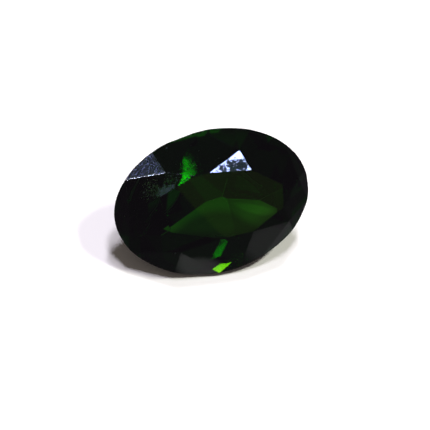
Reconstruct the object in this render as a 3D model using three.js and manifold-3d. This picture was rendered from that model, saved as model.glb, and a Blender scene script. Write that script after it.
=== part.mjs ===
// Faceted chrome diopside: one oval crystal, cut by hand, lying on a facet of its pavilion.
import * as THREE from "three";
import { mergeVertices } from "three/addons/utils/BufferGeometryUtils.js";
import Module from "manifold-3d";

// Driving dimensions in millimetres. The stone is laid out table up, its girdle's upper edge at height 0.
const LENGTH = 7.0;
const WIDTH = 5.1;
const CROWN_HEIGHT = 0.85;
const GIRDLE = 0.15;
const DEEPEST = 2.6;

// The oval is ground a little flatter at one shoulder, its direction and reach in degrees round the oval.
const SHOULDER_AT = -146;
const SHOULDER_REACH = 62;
const SHOULDER_DEPTH = 0.033;
const OUTLINE_STEPS = 120;

// Corners of the table seen from above, going round clockwise.
const TABLE_CORNERS = [
  [-1.67, 0.88],
  [-0.1, 1.28],
  [1.69, 0.86],
  [2.58, 0.05],
  [2.38, -0.74],
  [1.13, -1.25],
  [0.03, -1.19],
  [-1.65, -0.42],
];

// One entry for each table corner in degrees: the star's slope, the kite's bearing,
// and the place round the oval where the two upper girdle facets part.
const STAR_SLOPES = [17, 25.5, 32, 31.5, 28.5, 30.5, 10.5, 16];
const KITE_BEARINGS = [130, 85, 53, 36, -27, -75.5, -95.5, -154];
const UPPER_PARTINGS = [115, 64, 36, 3, -45, -84, -125, 168];

// One kite was cut too deep: it starts this far inside its corner of the table and takes the corner off.
const DEEP_KITE = 1;
const DEEP_KITE_INSET = 0.05;

// Pavilion mains, each with its bearing and slope in degrees. The lower girdle facets between a main and
// the next reach this far below the girdle, and part this many degrees round the oval from the middle.
const MAINS = [
  { bearing: 145.7, slope: 33.2, reach: 0.52, parting: -0.5 },
  { bearing: 104, slope: 37.4, reach: 0.59, parting: -3 },
  { bearing: 62.9, slope: 42.0, reach: 0.56, parting: 2.5 },
  { bearing: 19, slope: 35.4, reach: 0.45, parting: 7.5 },
  { bearing: -20.7, slope: 41.0, reach: 0.9, parting: 2.5 },
  { bearing: -66, slope: 42.8, reach: 0.95, parting: 5 },
  { bearing: -103, slope: 40.2, reach: 0.8, parting: 8 },
  { bearing: -140, slope: 43.0, reach: 0.92, parting: -3.5 },
];
const RESTING_MAIN = MAINS[6];

// The stone's turn about the upright, in degrees.
const TURN = 17.75;

const wasm = await Module();
wasm.setup();

const radians = THREE.MathUtils.degToRad;
const degrees = THREE.MathUtils.radToDeg;

// A surface geometry as a solid.
function solidOf(geometry) {
  const bare = geometry.clone();
  bare.deleteAttribute("normal");
  bare.deleteAttribute("uv");
  const merged = mergeVertices(bare, 1e-5);
  return new wasm.Manifold(
    new wasm.Mesh({
      numProp: 3,
      vertProperties: new Float32Array(merged.attributes.position.array),
      triVerts: new Uint32Array(merged.index.array),
    }),
  );
}

// A solid as a surface geometry.
function geometryOf(solid) {
  const mesh = solid.getMesh();
  const positions = new Float32Array(mesh.numVert * 3);
  for (let i = 0; i < mesh.numVert; i++) {
    const from = i * mesh.numProp;
    positions.set(mesh.vertProperties.subarray(from, from + 3), i * 3);
  }
  const geometry = new THREE.BufferGeometry();
  geometry.setAttribute("position", new THREE.BufferAttribute(positions, 3));
  geometry.setIndex(new THREE.BufferAttribute(new Uint32Array(mesh.triVerts), 1));
  return geometry;
}

// The point of the full oval at an angle round it.
function onOval(angle, z) {
  const a = radians(angle);
  return new THREE.Vector3((LENGTH / 2) * Math.cos(a), (WIDTH / 2) * Math.sin(a), z);
}

// The angle round the oval of the point that faces a bearing.
function angleFacing(bearing) {
  const b = radians(bearing);
  return degrees(Math.atan2((WIDTH / 2) * Math.sin(b), (LENGTH / 2) * Math.cos(b)));
}

// Keeps an angle within half a turn of another.
function nearTo(angle, other) {
  return other + THREE.MathUtils.euclideanModulo(angle - other + 180, 360) - 180;
}

// The outline that is ground first: the oval with its flatter shoulder.
function outline() {
  const shape = new THREE.Shape();
  for (let i = 0; i < OUTLINE_STEPS; i++) {
    const angle = (i * 360) / OUTLINE_STEPS;
    const away = Math.abs(nearTo(angle, SHOULDER_AT) - SHOULDER_AT) / SHOULDER_REACH;
    const flat = away < 1 ? SHOULDER_DEPTH * Math.cos((away * Math.PI) / 2) ** 2 : 0;
    const p = onOval(angle, 0).multiplyScalar(1 - flat);
    if (i === 0) shape.moveTo(p.x, p.y);
    else shape.lineTo(p.x, p.y);
  }
  shape.closePath();
  return shape;
}

// The outward direction of a facet with a bearing and a slope, up for the crown and down for the pavilion.
function facing(bearing, slope, up) {
  const b = radians(bearing);
  const s = radians(slope);
  return new THREE.Vector3(
    Math.sin(s) * Math.cos(b),
    Math.sin(s) * Math.sin(b),
    up ? Math.cos(s) : -Math.cos(s),
  );
}

function facetThrough(normal, point) {
  return { normal, distance: normal.dot(point) };
}

// The facet through three points, facing away from the stone's middle.
function facetThroughThree(a, b, c) {
  const normal = b.clone().sub(a).cross(c.clone().sub(a)).normalize();
  if (normal.dot(a) < 0) normal.negate();
  return facetThrough(normal, a);
}

// The point that three facets share.
function meeting(a, b, c) {
  const bc = b.normal.clone().cross(c.normal);
  const ca = c.normal.clone().cross(a.normal);
  const ab = a.normal.clone().cross(b.normal);
  const volume = a.normal.dot(bc);
  return bc
    .multiplyScalar(a.distance)
    .add(ca.multiplyScalar(b.distance))
    .add(ab.multiplyScalar(c.distance))
    .divideScalar(volume);
}

// Crown: the table, a star along each table edge, a kite at each table corner that runs down to the oval,
// and two upper girdle facets between each pair of kites.
function crownFacets() {
  const up = new THREE.Vector3(0, 0, 1);
  const count = TABLE_CORNERS.length;
  const corners = TABLE_CORNERS.map(([x, y]) => new THREE.Vector3(x, y, CROWN_HEIGHT));
  const stars = corners.map((corner, i) => {
    const along = corners[(i + 1) % count].clone().sub(corner);
    const bearing = degrees(Math.atan2(along.x, -along.y));
    return facetThrough(facing(bearing, STAR_SLOPES[i], true), corner);
  });
  const kites = corners.map((corner, i) => {
    const bearing = KITE_BEARINGS[i];
    const foot = onOval(angleFacing(bearing), 0);
    const outward = facing(bearing, 90, true);
    const start = corner.clone().addScaledVector(outward, i === DEEP_KITE ? -DEEP_KITE_INSET : 0);
    const run = outward.dot(foot) - outward.dot(start);
    const slope = degrees(Math.atan2(CROWN_HEIGHT, run));
    return facetThrough(facing(bearing, slope, true), start);
  });
  const uppers = stars.flatMap((star, i) => {
    const next = (i + 1) % count;
    const peak = meeting(star, kites[i], kites[next]);
    const parting = onOval(UPPER_PARTINGS[i], 0);
    return [i, next].map((k) =>
      facetThroughThree(peak, parting, onOval(angleFacing(KITE_BEARINGS[k]), 0)),
    );
  });
  return [facetThrough(up, corners[0]), ...stars, ...kites, ...uppers];
}

// Pavilion: mains that rise to the oval's lower edge, and two lower girdle facets between each pair of them.
function pavilionFacets() {
  const count = MAINS.length;
  const mains = MAINS.map(({ bearing, slope }) =>
    facetThrough(facing(bearing, slope, false), onOval(angleFacing(bearing), -GIRDLE)),
  );
  const lowers = mains.flatMap((main, i) => {
    const next = (i + 1) % count;
    const level = facetThrough(
      new THREE.Vector3(0, 0, 1),
      new THREE.Vector3(0, 0, -GIRDLE - MAINS[i].reach),
    );
    const ridge = meeting(main, mains[next], level);
    const here = angleFacing(MAINS[i].bearing);
    const there = nearTo(angleFacing(MAINS[next].bearing), here);
    const parting = onOval((here + there) / 2 + MAINS[i].parting, -GIRDLE);
    return [here, there].map((angle) =>
      facetThroughThree(ridge, parting, onOval(angle, -GIRDLE)),
    );
  });
  return [...mains, ...lowers];
}

// A block that stands on the facet's plane and grinds away what lies outside it.
function lap(facet) {
  const reach = LENGTH * 3;
  const block = new THREE.BoxGeometry(reach, reach, reach);
  block.translate(0, 0, reach / 2);
  const turn = new THREE.Quaternion().setFromUnitVectors(
    new THREE.Vector3(0, 0, 1),
    facet.normal,
  );
  block.applyQuaternion(turn);
  const at = facet.normal.clone().multiplyScalar(facet.distance);
  block.translate(at.x, at.y, at.z);
  return solidOf(block);
}

const rough = new THREE.ExtrudeGeometry(outline(), {
  depth: CROWN_HEIGHT + GIRDLE + DEEPEST,
  bevelEnabled: false,
  steps: 1,
});
rough.translate(0, 0, -GIRDLE - DEEPEST);
let stone = solidOf(rough);
for (const facet of [...crownFacets(), ...pavilionFacets()]) {
  stone = stone.subtract(lap(facet));
}

// The stone leans over until its resting main lies on the ground, then turns about the upright.
const down = new THREE.Vector3(0, 0, -1);
const resting = facing(RESTING_MAIN.bearing, RESTING_MAIN.slope, false);
const geometry = geometryOf(stone);
geometry.applyQuaternion(new THREE.Quaternion().setFromUnitVectors(resting, down));
geometry.rotateZ(radians(TURN));
geometry.computeBoundingBox();
const box = geometry.boundingBox;
geometry.translate(
  -(box.min.x + box.max.x) / 2,
  -(box.min.y + box.max.y) / 2,
  -box.min.z,
);

const crystal = new THREE.MeshStandardMaterial({
  color: new THREE.Color(0.01, 0.06, 0.01),
  roughness: 0.03,
  metalness: 0,
});
const chromeDiopside = new THREE.Mesh(geometry, crystal);
chromeDiopside.name = "chrome_diopside";

const part = new THREE.Group();
part.name = "faceted_chrome_diopside";
part.add(chromeDiopside);

export default part;
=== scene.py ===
import math

import bmesh
import bpy
from mathutils import Matrix, Vector


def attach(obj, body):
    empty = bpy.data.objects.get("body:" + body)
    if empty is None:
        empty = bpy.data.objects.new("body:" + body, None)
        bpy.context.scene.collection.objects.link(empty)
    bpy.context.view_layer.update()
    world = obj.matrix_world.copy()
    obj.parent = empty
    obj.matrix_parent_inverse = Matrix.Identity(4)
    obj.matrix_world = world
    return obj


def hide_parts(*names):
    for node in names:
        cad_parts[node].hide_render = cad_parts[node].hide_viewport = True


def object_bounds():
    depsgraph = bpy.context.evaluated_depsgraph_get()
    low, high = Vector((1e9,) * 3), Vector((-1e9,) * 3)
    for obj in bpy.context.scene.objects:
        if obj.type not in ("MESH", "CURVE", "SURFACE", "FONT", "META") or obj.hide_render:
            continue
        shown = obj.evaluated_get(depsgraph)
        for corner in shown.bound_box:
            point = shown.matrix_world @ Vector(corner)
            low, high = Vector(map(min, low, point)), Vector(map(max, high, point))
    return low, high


bl_info = {
    "name": "Faceted chrome diopside",
    "version": (1, 0, 0),
    "blender": (4, 5, 0),
    "location": "3D View > Sidebar > Gem",
    "description": "Finishes an oval chrome diopside, cut by hand, and sets it on a pale table",
    "category": "Object",
}

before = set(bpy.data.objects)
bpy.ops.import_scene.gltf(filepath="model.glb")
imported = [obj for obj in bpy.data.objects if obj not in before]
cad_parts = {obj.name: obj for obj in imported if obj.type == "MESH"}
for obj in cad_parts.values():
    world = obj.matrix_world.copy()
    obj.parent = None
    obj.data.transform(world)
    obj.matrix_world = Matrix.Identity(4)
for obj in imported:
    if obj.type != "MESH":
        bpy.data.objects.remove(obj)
CAD_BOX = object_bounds()

MM = 0.001
NODE = "chrome_diopside"

# The facet of the pavilion that the stone lies on, and the stone's turn about the upright, in degrees.
RESTING_BEARING = -103
RESTING_SLOPE = 40.2
STONE_TURN = 17.75

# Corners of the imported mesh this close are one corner, and triangles that turn less than this one facet.
CORNER_MERGE = 0.012 * MM
FLAT_ENOUGH = math.radians(0.4)

# An edge that turns more than this is rounded.
SHARP_ENOUGH = math.radians(4.5)

# A facet that faces this close to a listed bearing and slope is the one that is meant, and one whose
# normal has less than this along the stone's axis belongs to the upright girdle.
SAME_FACET = math.radians(2.0)
UPRIGHT_ENOUGH = 0.02

# Bearing and slope in degrees of the facets that wear has marked, and how much of them it reached.
MARKED_FACETS = (
    (104.3, 17.0, 0.5),
    (76.8, 25.5, 0.02),
    (130.0, 34.6, 0.02),
    (118.8, 42.0, 0.75),
    (96.6, 42.8, 0.02),
    (85.0, 32.3, 0.12),
    (-133.7, 37.6, 0.02),
)

# Wear on all other facets, and the least wear that leaves flecks.
UNMARKED = 0.0
LEAST_MARKED = 0.01

# Middle and radius in millimetres of the spots that wear took most, and how much it adds there.
WORN_SPOTS = (
    ((0.3, 0.42, 3.25), 0.32, 0.49),
    ((0.6, 0.53, 3.26), 0.42, 0.5),
    ((0.9, 0.63, 3.28), 0.48, 0.5),
    ((1.2, 0.56, 3.27), 0.4, 0.48),
    ((-0.72, 0.62, 3.24), 0.36, 0.22),
    ((-1.66, -0.25, 2.81), 0.34, 0.5),
    ((-1.38, -0.17, 2.91), 0.26, 0.4),
    ((-2.1, -0.06, 2.7), 0.62, 0.45),
    ((-1.56, 1.36, 3.16), 0.07, 0.9),
    ((-1.26, -1.79, 1.24), 0.06, 0.9),
)

# A worn spot is even as far as this part of its radius, and fades from there.
SPOT_CORE = 0.35

# The worn flecks: how many fit along a metre, and the noise that shapes them.
FLECKS_PER_METRE = 17000.0
FLECK_DETAIL = 4.0
FLECK_ROUGHNESS = 0.65
FLECK_DISTORTION = 0.4

# How high the noise must be for a fleck where wear has no share, how much lower where it has all, and
# how far above that the fleck is full.
FLECK_START = 0.74
FLECK_LOWERED = 0.38
FLECK_EDGE = 0.05

# What worn flecks and rounded edges add to the roughness.
WORN_ROUGHNESS = 0.46
EDGE_ROUGHNESS = 0.12

# The faint waves that polishing leaves: how many along a metre, their height beside that of the flecks,
# and the depth of the whole relief.
WAVES_PER_METRE = 900.0
WAVE_HEIGHT = 0.0125
RELIEF = 0.04 * MM

WHITE = (1.0, 1.0, 1.0)


def facing(bearing, slope, up=True):
    """The outward direction of a facet in the stone's own frame, its table up."""
    b = math.radians(bearing)
    s = math.radians(slope)
    height = math.cos(s) if up else -math.cos(s)
    return Vector((math.sin(s) * math.cos(b), math.sin(s) * math.sin(b), height))


def towards(azimuth, elevation):
    """A direction from the stone, its azimuth counted from +X towards +Y, in degrees."""
    a = math.radians(azimuth)
    e = math.radians(elevation)
    return Vector((math.cos(e) * math.cos(a), math.cos(e) * math.sin(a), math.sin(e)))


def lie(direction):
    """A direction in the stone's own frame, turned to how the stone lies on the table."""
    resting = facing(RESTING_BEARING, RESTING_SLOPE, up=False)
    lean = resting.rotation_difference(Vector((0, 0, -1)))
    return Matrix.Rotation(math.radians(STONE_TURN), 3, "Z") @ (lean @ direction)


class CrystalSettings(bpy.types.PropertyGroup):
    edge_width: bpy.props.FloatProperty(
        name="Edge width",
        description="Width of the rounding that the polishing wheel leaves along each facet edge",
        default=0.014 * MM,
        unit="LENGTH",
        precision=6,
    )
    refraction: bpy.props.FloatProperty(
        name="Refractive index",
        description="How strongly the crystal bends light",
        default=1.672,
    )
    passes: bpy.props.FloatVectorProperty(
        name="Passed light",
        description="Red, green and blue that the crystal lets through beside the absorption",
        default=(0.3, 0.75, 0.0),
        subtype="COLOR",
    )
    absorption: bpy.props.FloatProperty(
        name="Absorption",
        description="Light taken per metre of crystal, where none is let through",
        default=2000.0,
    )
    polish: bpy.props.FloatProperty(
        name="Polish",
        description="Roughness of a polished facet",
        default=0.015,
    )
    ground: bpy.props.FloatProperty(
        name="Ground girdle",
        description="Roughness that the unpolished girdle adds",
        default=0.45,
    )


class StageSettings(bpy.types.PropertyGroup):
    floor_reach: bpy.props.FloatProperty(
        name="Table reach",
        description="Half the side of the pale table top",
        default=0.08,
        unit="LENGTH",
    )
    floor_colour: bpy.props.FloatVectorProperty(
        name="Table colour",
        description="Colour of the table top",
        default=(0.93, 0.925, 0.93),
        subtype="COLOR",
    )
    # The room's colour is also the painted dim reflection of the table in the facets.
    room_colour: bpy.props.FloatVectorProperty(
        name="Room colour",
        description="What the dim room gives to the crystal's reflections",
        default=(0.065, 0.055, 0.07),
        subtype="COLOR",
    )
    beyond_colour: bpy.props.FloatVectorProperty(
        name="Colour beyond",
        description="What the dim room gives to light that passed through the crystal",
        default=(0.05, 0.05, 0.05),
        subtype="COLOR",
    )
    air_film: bpy.props.FloatProperty(
        name="Air film",
        description="Thickness of the film of air between the table top and the stone",
        default=0.02 * MM,
        unit="LENGTH",
        precision=6,
    )
    backdrop: bpy.props.FloatProperty(
        name="Backdrop",
        description="Brightness of the pale backdrop",
        default=1.15,
    )
    fill: bpy.props.FloatProperty(
        name="Fill",
        description="Brightness of the soft light from all round on the table",
        default=0.12,
    )
    camera_elevation: bpy.props.FloatProperty(
        name="Camera elevation",
        description="How far above the horizon the camera stands",
        default=math.radians(61.56),
        subtype="ANGLE",
    )
    camera_lens: bpy.props.FloatProperty(
        name="Lens",
        description="Focal length in millimetres",
        default=250.0,
    )
    view_width: bpy.props.FloatProperty(
        name="View width",
        description="Width of the view where the stone lies",
        default=15.125 * MM,
        unit="LENGTH",
        precision=6,
    )
    aim: bpy.props.FloatVectorProperty(
        name="Aim",
        description="The point at the middle of the view",
        default=(0.13 * MM, -0.451 * MM, 1.584 * MM),
        unit="LENGTH",
        precision=6,
    )


def add_node(tree, kind, inputs=None, **settings):
    """A new node with its settings, and its inputs' plain values or what is linked to them."""
    made = tree.nodes.new(kind)
    for name, value in settings.items():
        setattr(made, name, value)
    for name, value in (inputs or {}).items():
        if isinstance(value, bpy.types.NodeSocket):
            tree.links.new(value, made.inputs[name])
        else:
            made.inputs[name].default_value = value
    return made


def calculate(tree, operation, *values, clamp=False):
    """The result of a Math node."""
    inputs = dict(enumerate(values))
    return add_node(tree, "ShaderNodeMath", inputs, operation=operation, use_clamp=clamp).outputs[0]


def ramp(tree, value, start, end, low=0.0, high=1.0):
    """Goes smoothly from low to high as value goes from start to end."""
    inputs = {"Value": value, "From Min": start, "From Max": end, "To Min": low, "To Max": high}
    return add_node(tree, "ShaderNodeMapRange", inputs, interpolation_type="SMOOTHSTEP").outputs["Result"]


def start_group(name, inputs, outputs):
    """A new shader node group with its sockets: (the group, its input node, its output node)."""
    group = bpy.data.node_groups.new(name, "ShaderNodeTree")
    for label, kind, default in inputs:
        socket = group.interface.new_socket(label, in_out="INPUT", socket_type=kind)
        if default is not None:
            socket.default_value = default
    for label, kind in outputs:
        group.interface.new_socket(label, in_out="OUTPUT", socket_type=kind)
    return group, group.nodes.new("NodeGroupInput"), group.nodes.new("NodeGroupOutput")


def wear_group():
    """Irregular worn flecks: Size is how many fit along a metre, Share how much of the surface they take."""
    group, given, result = start_group(
        "Wear",
        [
            ("Vector", "NodeSocketVector", None),
            ("Size", "NodeSocketFloat", FLECKS_PER_METRE),
            ("Share", "NodeSocketFloat", 0.5),
        ],
        [("Mask", "NodeSocketFloat"), ("Height", "NodeSocketFloat")],
    )
    grain = add_node(
        group,
        "ShaderNodeTexNoise",
        {
            "Vector": given.outputs["Vector"],
            "Scale": given.outputs["Size"],
            "Detail": FLECK_DETAIL,
            "Roughness": FLECK_ROUGHNESS,
            "Distortion": FLECK_DISTORTION,
        },
    )
    start = calculate(group, "MULTIPLY_ADD", given.outputs["Share"], -FLECK_LOWERED, FLECK_START)
    over = calculate(group, "SUBTRACT", grain.outputs[0], start)
    some = calculate(group, "GREATER_THAN", given.outputs["Share"], LEAST_MARKED)
    mask = calculate(group, "MULTIPLY", ramp(group, over, 0.0, FLECK_EDGE), some)
    group.links.new(mask, result.inputs["Mask"])
    group.links.new(calculate(group, "MULTIPLY", mask, grain.outputs[0]), result.inputs["Height"])
    return group


def spot_group():
    """One worn spot: 1 at its Middle, fading to nothing at its Radius."""
    group, given, result = start_group(
        "Spot",
        [
            ("Vector", "NodeSocketVector", None),
            ("Middle", "NodeSocketVector", (0.0, 0.0, 0.0)),
            ("Radius", "NodeSocketFloat", MM),
        ],
        [("Mask", "NodeSocketFloat")],
    )
    away = add_node(
        group,
        "ShaderNodeVectorMath",
        {0: given.outputs["Vector"], 1: given.outputs["Middle"]},
        operation="DISTANCE",
    )
    part = calculate(group, "DIVIDE", away.outputs["Value"], given.outputs["Radius"])
    group.links.new(ramp(group, part, SPOT_CORE, 1.0, 1.0, 0.0), result.inputs["Mask"])
    return group


def use_group(tree, group, vector, **inputs):
    """The outputs of a node group placed in a material with its own values."""
    values = {name.capitalize(): value for name, value in inputs.items()}
    return add_node(tree, "ShaderNodeGroup", {"Vector": vector, **values}, node_tree=group).outputs


def crystal_material(settings):
    """Clear dark green crystal: polished facets, marked ones dull in flecks, its girdle ground."""
    made = bpy.data.materials.new("chrome diopside crystal")
    made.use_nodes = True
    tree = made.node_tree
    tree.nodes.clear()
    place = add_node(tree, "ShaderNodeTexCoord").outputs["Object"]
    marked = add_node(tree, "ShaderNodeAttribute", attribute_name="marked").outputs["Fac"]
    ground = add_node(tree, "ShaderNodeAttribute", attribute_name="ground").outputs["Fac"]
    edge = add_node(tree, "ShaderNodeAttribute", attribute_name="edge").outputs["Fac"]

    share = marked
    spot = spot_group()
    for middle, radius, amount in WORN_SPOTS:
        inside = use_group(tree, spot, place, middle=[c * MM for c in middle], radius=radius * MM)
        share = calculate(tree, "MULTIPLY_ADD", inside["Mask"], amount, share)
    share = calculate(tree, "MULTIPLY", share, calculate(tree, "GREATER_THAN", marked, LEAST_MARKED))
    flecks = use_group(tree, wear_group(), place, size=FLECKS_PER_METRE, share=share)

    roughness = calculate(tree, "MULTIPLY_ADD", flecks["Mask"], WORN_ROUGHNESS, settings.polish)
    roughness = calculate(tree, "MULTIPLY_ADD", ground, settings.ground, roughness)
    roughness = calculate(tree, "MULTIPLY_ADD", edge, EDGE_ROUGHNESS, roughness, clamp=True)

    waves = add_node(tree, "ShaderNodeTexNoise", {"Vector": place, "Scale": WAVES_PER_METRE, "Detail": 1.0})
    height = calculate(tree, "MULTIPLY_ADD", waves.outputs[0], WAVE_HEIGHT, flecks["Height"])
    bump = add_node(tree, "ShaderNodeBump", {"Distance": RELIEF, "Height": height})
    surface = add_node(
        tree,
        "ShaderNodeBsdfPrincipled",
        {
            "Base Color": (*WHITE, 1.0),
            "Metallic": 0.0,
            "Roughness": roughness,
            "IOR": settings.refraction,
            "Transmission Weight": 1.0,
            "Normal": bump.outputs["Normal"],
        },
    )
    body = add_node(
        tree,
        "ShaderNodeVolumeAbsorption",
        {"Color": (*settings.passes, 1.0), "Density": settings.absorption},
    )
    output = tree.nodes.new("ShaderNodeOutputMaterial")
    tree.links.new(surface.outputs["BSDF"], output.inputs["Surface"])
    tree.links.new(body.outputs["Volume"], output.inputs["Volume"])
    return made


def whole_facets():
    """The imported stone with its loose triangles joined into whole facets."""
    bm = bmesh.new()
    bm.from_mesh(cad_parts[NODE].data)
    bmesh.ops.remove_doubles(bm, verts=bm.verts, dist=CORNER_MERGE)
    bmesh.ops.dissolve_limit(bm, angle_limit=FLAT_ENOUGH, verts=bm.verts, edges=bm.edges)
    return bm


def mark_facets(bm):
    """Says on each face whether it is the ground girdle, and how marked it is."""
    ground = bm.faces.layers.float.new("ground")
    marked = bm.faces.layers.float.new("marked")
    bm.faces.layers.float.new("edge")
    axis = lie(Vector((0, 0, 1)))
    for face in bm.faces:
        face.normal_update()
        face[marked] = UNMARKED
        if abs(face.normal.dot(axis)) < UPRIGHT_ENOUGH:
            face[ground] = 1.0
        for bearing, slope, amount in MARKED_FACETS:
            if face.normal.angle(lie(facing(bearing, slope))) < SAME_FACET:
                face[marked] = amount


def round_edges(bm, width):
    """A narrow bevel along each edge between two facets, marked as edge."""
    sharp = [e for e in bm.edges if e.is_manifold and e.calc_face_angle() > SHARP_ENOUGH]
    made = bmesh.ops.bevel(
        bm,
        geom=sharp,
        offset=width / 2,
        offset_type="OFFSET",
        affect="EDGES",
        segments=1,
        profile=0.5,
        material=-1,
        clamp_overlap=False,
    )
    edge = bm.faces.layers.float["edge"]
    for face in made["faces"]:
        face[edge] = 1.0


def keep_inside(bm, lowest, highest):
    """Puts a corner that the bevel pushed past the CAD part's box back on the box."""
    for corner in bm.verts:
        for axis in range(3):
            corner.co[axis] = min(max(corner.co[axis], lowest[axis]), highest[axis])


def link_piece(name, bm, material):
    """Puts a finished mesh in the scene at the origin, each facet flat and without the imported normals."""
    mesh = bpy.data.meshes.new(name)
    bm.to_mesh(mesh)
    bm.free()
    packed_normals = mesh.attributes.get("custom_normal")
    if packed_normals:
        mesh.attributes.remove(packed_normals)
    mesh.shade_flat()
    mesh.materials.append(material)
    made = bpy.data.objects.new(name, mesh)
    bpy.context.scene.collection.objects.link(made)
    return made


class GEM_OT_crystal(bpy.types.Operator):
    """Finishes the crystal: whole facets with polished edges, in clear dark green"""

    bl_idname = "gem.crystal"
    bl_label = "Finish the crystal"

    def execute(self, context):
        settings = context.scene.gem_crystal
        bm = whole_facets()
        mark_facets(bm)
        round_edges(bm, settings.edge_width)
        keep_inside(bm, *CAD_BOX)
        piece = link_piece("diopside_crystal", bm, crystal_material(settings))
        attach(piece, "root")
        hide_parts(NODE)
        return {"FINISHED"}


# Painted light and shadow on the table, which shows only through the crystal, in the scene's frame and in
# millimetres. Away from the stone's painted shadow it rises from a dim ring to a full one: the ring's
# middle, its two radii and strengths.
RING_MIDDLE = (0.3, -1.09, 0.0)
RING = (1.72, 2.3)
RING_STRENGTH = (0.05, 0.178)

# Far from the stone the painted glow is brighter still: the radii between which this strength is added.
FAR = (4.0, 9.0)
FAR_STRENGTH = 0.3

# Behind the stone it has a painted bright spot: middle, radii, turn in degrees and strength, as each patch
# has.
PAINTED_BRIGHT_SPOT = ((0.9, 1.7), (0.24, 0.54), -38.7, 0.13)

# Right of a leaning line a painted shade of the stone dims it: where the line crosses the X axis, how far it
# goes right for each millimetre back, how soft it is, and the part of the glow that is left.
SHADE_CROSSING = 0.8
SHADE_LEAN = 0.16
SHADE_EDGE = 0.2
SHADE_STRENGTH = 0.3

# At the front the ring is dark, a painted shadow: the places along Y where it starts and where it is whole.
FRONT_SHADE = (-0.46, 0.25)

# Painted reflections: the pale patches of table that the lower facets mirror, seen only in reflections.
PAINTED_REFLECTION_PATCHES = (
    ((-0.3, -2.9), (1.0, 1.1), 0.0, 0.25),
    ((3.1, -2.2), (1.5, 1.7), 0.0, 0.13),
)

# A patch is even as far as the first of these parts of its radii, and gone at the second.
PATCH_RIM = (0.6, 1.1)

# The soft light from all round that fills the table's shadows is warm.
FILL_COLOUR = (1.0, 0.87, 0.76)


def mix(tree, where, shader, other):
    """The other shader where the mask is 1, and the first where it is 0."""
    return add_node(tree, "ShaderNodeMixShader", {0: where, 1: shader, 2: other}).outputs[0]


def light_of(tree, kind, colour, strength):
    """A background or an emission."""
    return add_node(tree, kind, {"Color": colour, "Strength": strength}).outputs[0]


def finish_tree(tree, kind, shader):
    """Links a shader to a new output node of this kind."""
    tree.links.new(shader, tree.nodes.new(kind).inputs["Surface"])


def patch(tree, place, middle, radii, turn, strength):
    """An oval patch of painted light on the table that fades towards its rim."""
    scaled = add_node(
        tree,
        "ShaderNodeMapping",
        {
            "Vector": place,
            "Location": (*middle, 0.0),
            "Rotation": (0.0, 0.0, math.radians(turn)),
            "Scale": (*radii, 1.0),
        },
        vector_type="TEXTURE",
    )
    away = add_node(tree, "ShaderNodeVectorMath", {0: scaled.outputs[0]}, operation="LENGTH")
    return ramp(tree, away.outputs["Value"], *PATCH_RIM, strength, 0.0)


def painted_glow_through(tree, place):
    """How strongly the table's painted light and shadow show through the crystal at a place in millimetres.
    """
    away = add_node(
        tree,
        "ShaderNodeVectorMath",
        {0: place, 1: RING_MIDDLE},
        operation="DISTANCE",
    ).outputs["Value"]
    # Painted light: a ring of glow round the stone.
    ring = ramp(tree, away, *RING, *RING_STRENGTH)
    across = add_node(tree, "ShaderNodeSeparateXYZ", {"Vector": place})
    x, y = across.outputs["X"], across.outputs["Y"]
    # Painted shadow at the front of the ring.
    ring = calculate(tree, "MULTIPLY", ring, ramp(tree, y, *FRONT_SHADE))
    beside = calculate(tree, "MULTIPLY_ADD", y, -SHADE_LEAN, x)
    beside = calculate(tree, "SUBTRACT", beside, SHADE_CROSSING)
    # Painted light: the bright spot behind the stone.
    lit = calculate(tree, "ADD", ring, patch(tree, place, *PAINTED_BRIGHT_SPOT))
    # Painted shade of the stone right of the leaning line.
    shade = ramp(tree, beside, -SHADE_EDGE, SHADE_EDGE, 1.0, SHADE_STRENGTH)
    lit = calculate(tree, "MULTIPLY", lit, shade)
    # Painted light: brighter still far from the stone.
    return calculate(tree, "ADD", lit, ramp(tree, away, *FAR, 0.0, FAR_STRENGTH))


def floor_material(settings):
    """Pale table top, plain to the camera; the crystal mirrors it as a painted dim reflection with painted
    pale patches, and shows it through with painted light and shadow.
    """
    made = bpy.data.materials.new("pale table")
    made.use_nodes = True
    tree = made.node_tree
    tree.nodes.clear()
    spot = add_node(tree, "ShaderNodeTexCoord").outputs["Object"]
    place = add_node(tree, "ShaderNodeVectorMath", {0: spot, "Scale": 1 / MM}, operation="SCALE").outputs[0]
    seen = add_node(tree, "ShaderNodeLightPath")
    not_scattered = calculate(tree, "LESS_THAN", seen.outputs["Diffuse Depth"], 0.5)
    # Painted light and shadow, shown through the crystal but not to scattered light.
    strength = calculate(tree, "MULTIPLY", painted_glow_through(tree, place), not_scattered)
    # Painted reflections: the pale patches.
    pale = patch(tree, place, *PAINTED_REFLECTION_PATCHES[0])
    for other in PAINTED_REFLECTION_PATCHES[1:]:
        pale = calculate(tree, "ADD", pale, patch(tree, place, *other))
    painted_reflection_grey = add_node(tree, "ShaderNodeCombineXYZ", {"X": pale, "Y": pale, "Z": pale})
    # Painted dim reflection: the room's colour with the pale patches.
    room = add_node(
        tree,
        "ShaderNodeVectorMath",
        {0: painted_reflection_grey.outputs[0], 1: settings.room_colour},
        operation="ADD",
    )
    plain = add_node(tree, "ShaderNodeBsdfDiffuse", {"Color": (*settings.floor_colour, 1.0)}).outputs[0]
    mirrored = light_of(tree, "ShaderNodeEmission", room.outputs[0], 1.0)
    through = light_of(tree, "ShaderNodeEmission", (*WHITE, 1.0), strength)
    # The facets see the painted dim reflection, and through the crystal the painted glow.
    outside = mix(tree, seen.outputs["Is Glossy Ray"], plain, mirrored)
    both = mix(tree, seen.outputs["Is Transmission Ray"], outside, through)
    finish_tree(tree, "ShaderNodeOutputMaterial", both)
    return made


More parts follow.
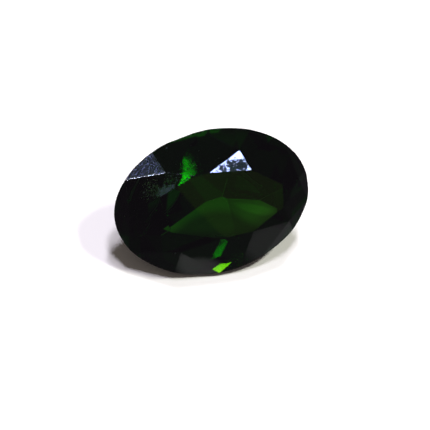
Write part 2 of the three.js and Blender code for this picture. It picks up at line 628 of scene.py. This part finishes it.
def floor_piece(settings):
    """The table top, a plain square under the stone."""
    bm = bmesh.new()
    bmesh.ops.create_grid(bm, x_segments=1, y_segments=1, size=settings.floor_reach)
    bmesh.ops.translate(bm, verts=bm.verts, vec=(0, 0, -settings.air_film))
    floor = link_piece("table_top", bm, floor_material(settings))


def room_light(settings):
    """Pale all round to the camera, soft fill for the table, and dim for the crystal."""
    world = bpy.data.worlds.new("studio")
    world.use_nodes = True
    tree = world.node_tree
    tree.nodes.clear()
    seen = add_node(tree, "ShaderNodeLightPath")
    kind = "ShaderNodeBackground"
    pale = light_of(tree, kind, (*WHITE, 1.0), settings.backdrop)
    fill = light_of(tree, kind, (*FILL_COLOUR, 1.0), settings.fill)
    dim = light_of(tree, kind, (*settings.room_colour, 1.0), 1.0)
    beyond = light_of(tree, kind, (*settings.beyond_colour, 1.0), 1.0)
    stone = mix(tree, seen.outputs["Is Transmission Ray"], dim, beyond)
    table = mix(tree, seen.outputs["Is Diffuse Ray"], stone, fill)
    both = mix(tree, seen.outputs["Is Camera Ray"], table, pale)
    finish_tree(tree, "ShaderNodeOutputWorld", both)
    bpy.context.scene.world = world


# Name, azimuth, elevation and half width in degrees, brightness, colour, and where the lamp shows:
# on the table, mirrored by the facets, or deep in the crystal, by way of its back facets.
LAMPS = (
    ("high softbox", 60.0, 73.0, 4.5, 62.0, (0.95, 0.91, 1.0), "table"),
    ("back lamp", 75.0, 60.0, 4.0, 92.0, (0.95, 0.91, 1.0), "table"),
    ("side lamp", 17.0, 52.0, 3.5, 125.0, (1.02, 1.04, 0.9), "table"),
    ("overhead lamp", 2.0, 87.0, 6.0, 20.0, (0.7, 0.85, 1.7), "mirrored"),
    ("side card", 161.0, 37.0, 4.0, 2.8, (0.42, 0.5, 1.05), "mirrored"),
    ("olive card", -76.0, 42.0, 6.6, 0.07, (0.4, 1.0, 0.0), "mirrored"),
    ("edge lamp", 173.0, 39.2, 1.5, 60.0, (0.85, 0.9, 1.2), "mirrored"),
    ("upper edge lamp", 172.5, 80.0, 1.5, 60.0, (0.85, 0.9, 1.2), "mirrored"),
    ("front lamp", -27.6, 56.9, 0.6, 2.2, (1.3, 1.0, 1.3), "deep"),
    ("lower front lamp", -26.5, 52.52, 0.07, 9.0, (1.3, 1.0, 1.3), "deep"),
    ("middle front lamp", -26.45, 52.68, 0.07, 9.0, (1.3, 1.0, 1.3), "deep"),
    ("right lamp", -29.6, 40.1, 1.2, 11.0, (1.3, 1.0, 1.3), "deep"),
    ("low right lamp", -42.15, 30.15, 0.18, 9.0, (1.3, 1.0, 1.3), "deep"),
    ("warm lamp", -52.8, 30.8, 1.3, 11.0, (62.0, 1.1, 3.0), "deep"),
    ("back card", 174.0, 62.0, 9.0, 0.11, (1.0, 1.0, 1.0), "deep"),
    ("front card", -47.0, 36.0, 5.0, 0.1, (1.0, 1.0, 1.0), "deep"),
)
LAMP_DISTANCE = 0.3
LAMP_TARGET = Vector((0, 0, 1.8 * MM))

# A ray that back facets turned round has had more mirrored bounces than this.
TURNED_ROUND = 1.5


def shine_deep(data):
    """Keeps a lamp to the light that the back facets turned round inside the crystal."""
    data.use_nodes = True
    tree = data.node_tree
    tree.nodes.clear()
    seen = add_node(tree, "ShaderNodeLightPath")
    turned = calculate(tree, "GREATER_THAN", seen.outputs["Glossy Depth"], TURNED_ROUND)
    light = light_of(tree, "ShaderNodeEmission", (*WHITE, 1.0), turned)
    finish_tree(tree, "ShaderNodeOutputLight", light)


def hang_lamp(name, azimuth, elevation, half_width, brightness, colour, shows):
    """A round soft lamp that faces the stone, as bright from there whatever its size."""
    radius = LAMP_DISTANCE * math.tan(math.radians(half_width))
    data = bpy.data.lights.new(name, "AREA")
    data.shape = "DISK"
    data.size = 2 * radius
    data.energy = brightness * 4 * math.pi * radius**2
    data.color = colour
    if shows == "deep":
        shine_deep(data)
    lamp = bpy.data.objects.new(name, data)
    away = towards(azimuth, elevation)
    lamp.location = LAMP_TARGET + away * LAMP_DISTANCE
    lamp.rotation_euler = away.to_track_quat("Z", "Y").to_euler()
    lamp.visible_camera = False
    lamp.visible_diffuse = shows == "table"
    lamp.visible_glossy = shows == "mirrored"
    lamp.visible_transmission = shows == "deep"
    bpy.context.scene.collection.objects.link(lamp)


# The camera stands in front of the stone, and sees from this part of its distance to this many metres.
CAMERA_AZIMUTH = -90.0
CLIP_START = 0.1
CLIP_END = 100.0


def place_camera(settings):
    """The camera at the photograph's angle, on a long lens."""
    data = bpy.data.cameras.new("camera")
    data.lens = settings.camera_lens
    camera = bpy.data.objects.new("camera", data)
    back = towards(CAMERA_AZIMUTH, math.degrees(settings.camera_elevation))
    distance = settings.view_width * settings.camera_lens / data.sensor_width
    camera.location = Vector(settings.aim) + back * distance
    camera.rotation_euler = back.to_track_quat("Z", "Y").to_euler()
    data.clip_start = distance * CLIP_START
    data.clip_end = CLIP_END
    bpy.context.scene.collection.objects.link(camera)
    bpy.context.scene.camera = camera


class GEM_OT_stage(bpy.types.Operator):
    """Sets the pale table, the lamps, the room and the camera"""

    bl_idname = "gem.stage"
    bl_label = "Set the stage"

    def execute(self, context):
        settings = context.scene.gem_stage
        floor_piece(settings)
        room_light(settings)
        for lamp in LAMPS:
            hang_lamp(*lamp)
        place_camera(settings)
        context.scene.view_settings.view_transform = "Standard"
        context.scene.cycles.caustics_refractive = False
        return {"FINISHED"}


class GEM_PT_sidebar(bpy.types.Panel):
    bl_label = "Faceted chrome diopside"
    bl_space_type = "VIEW_3D"
    bl_region_type = "UI"
    bl_category = "Gem"

    def draw(self, context):
        layout = self.layout
        for operator, settings in (
            (GEM_OT_crystal, context.scene.gem_crystal),
            (GEM_OT_stage, context.scene.gem_stage),
        ):
            box = layout.box()
            for name in settings.__annotations__:
                box.prop(settings, name)
            box.operator(operator.bl_idname)


CLASSES = (CrystalSettings, StageSettings, GEM_OT_crystal, GEM_OT_stage, GEM_PT_sidebar)


def register():
    for made in CLASSES:
        bpy.utils.register_class(made)
    bpy.types.Scene.gem_crystal = bpy.props.PointerProperty(type=CrystalSettings)
    bpy.types.Scene.gem_stage = bpy.props.PointerProperty(type=StageSettings)


def unregister():
    del bpy.types.Scene.gem_stage
    del bpy.types.Scene.gem_crystal
    for made in reversed(CLASSES):
        bpy.utils.unregister_class(made)


def main():
    register()
    bpy.ops.gem.crystal()
    bpy.ops.gem.stage()


if __name__ == "__main__":
    main()
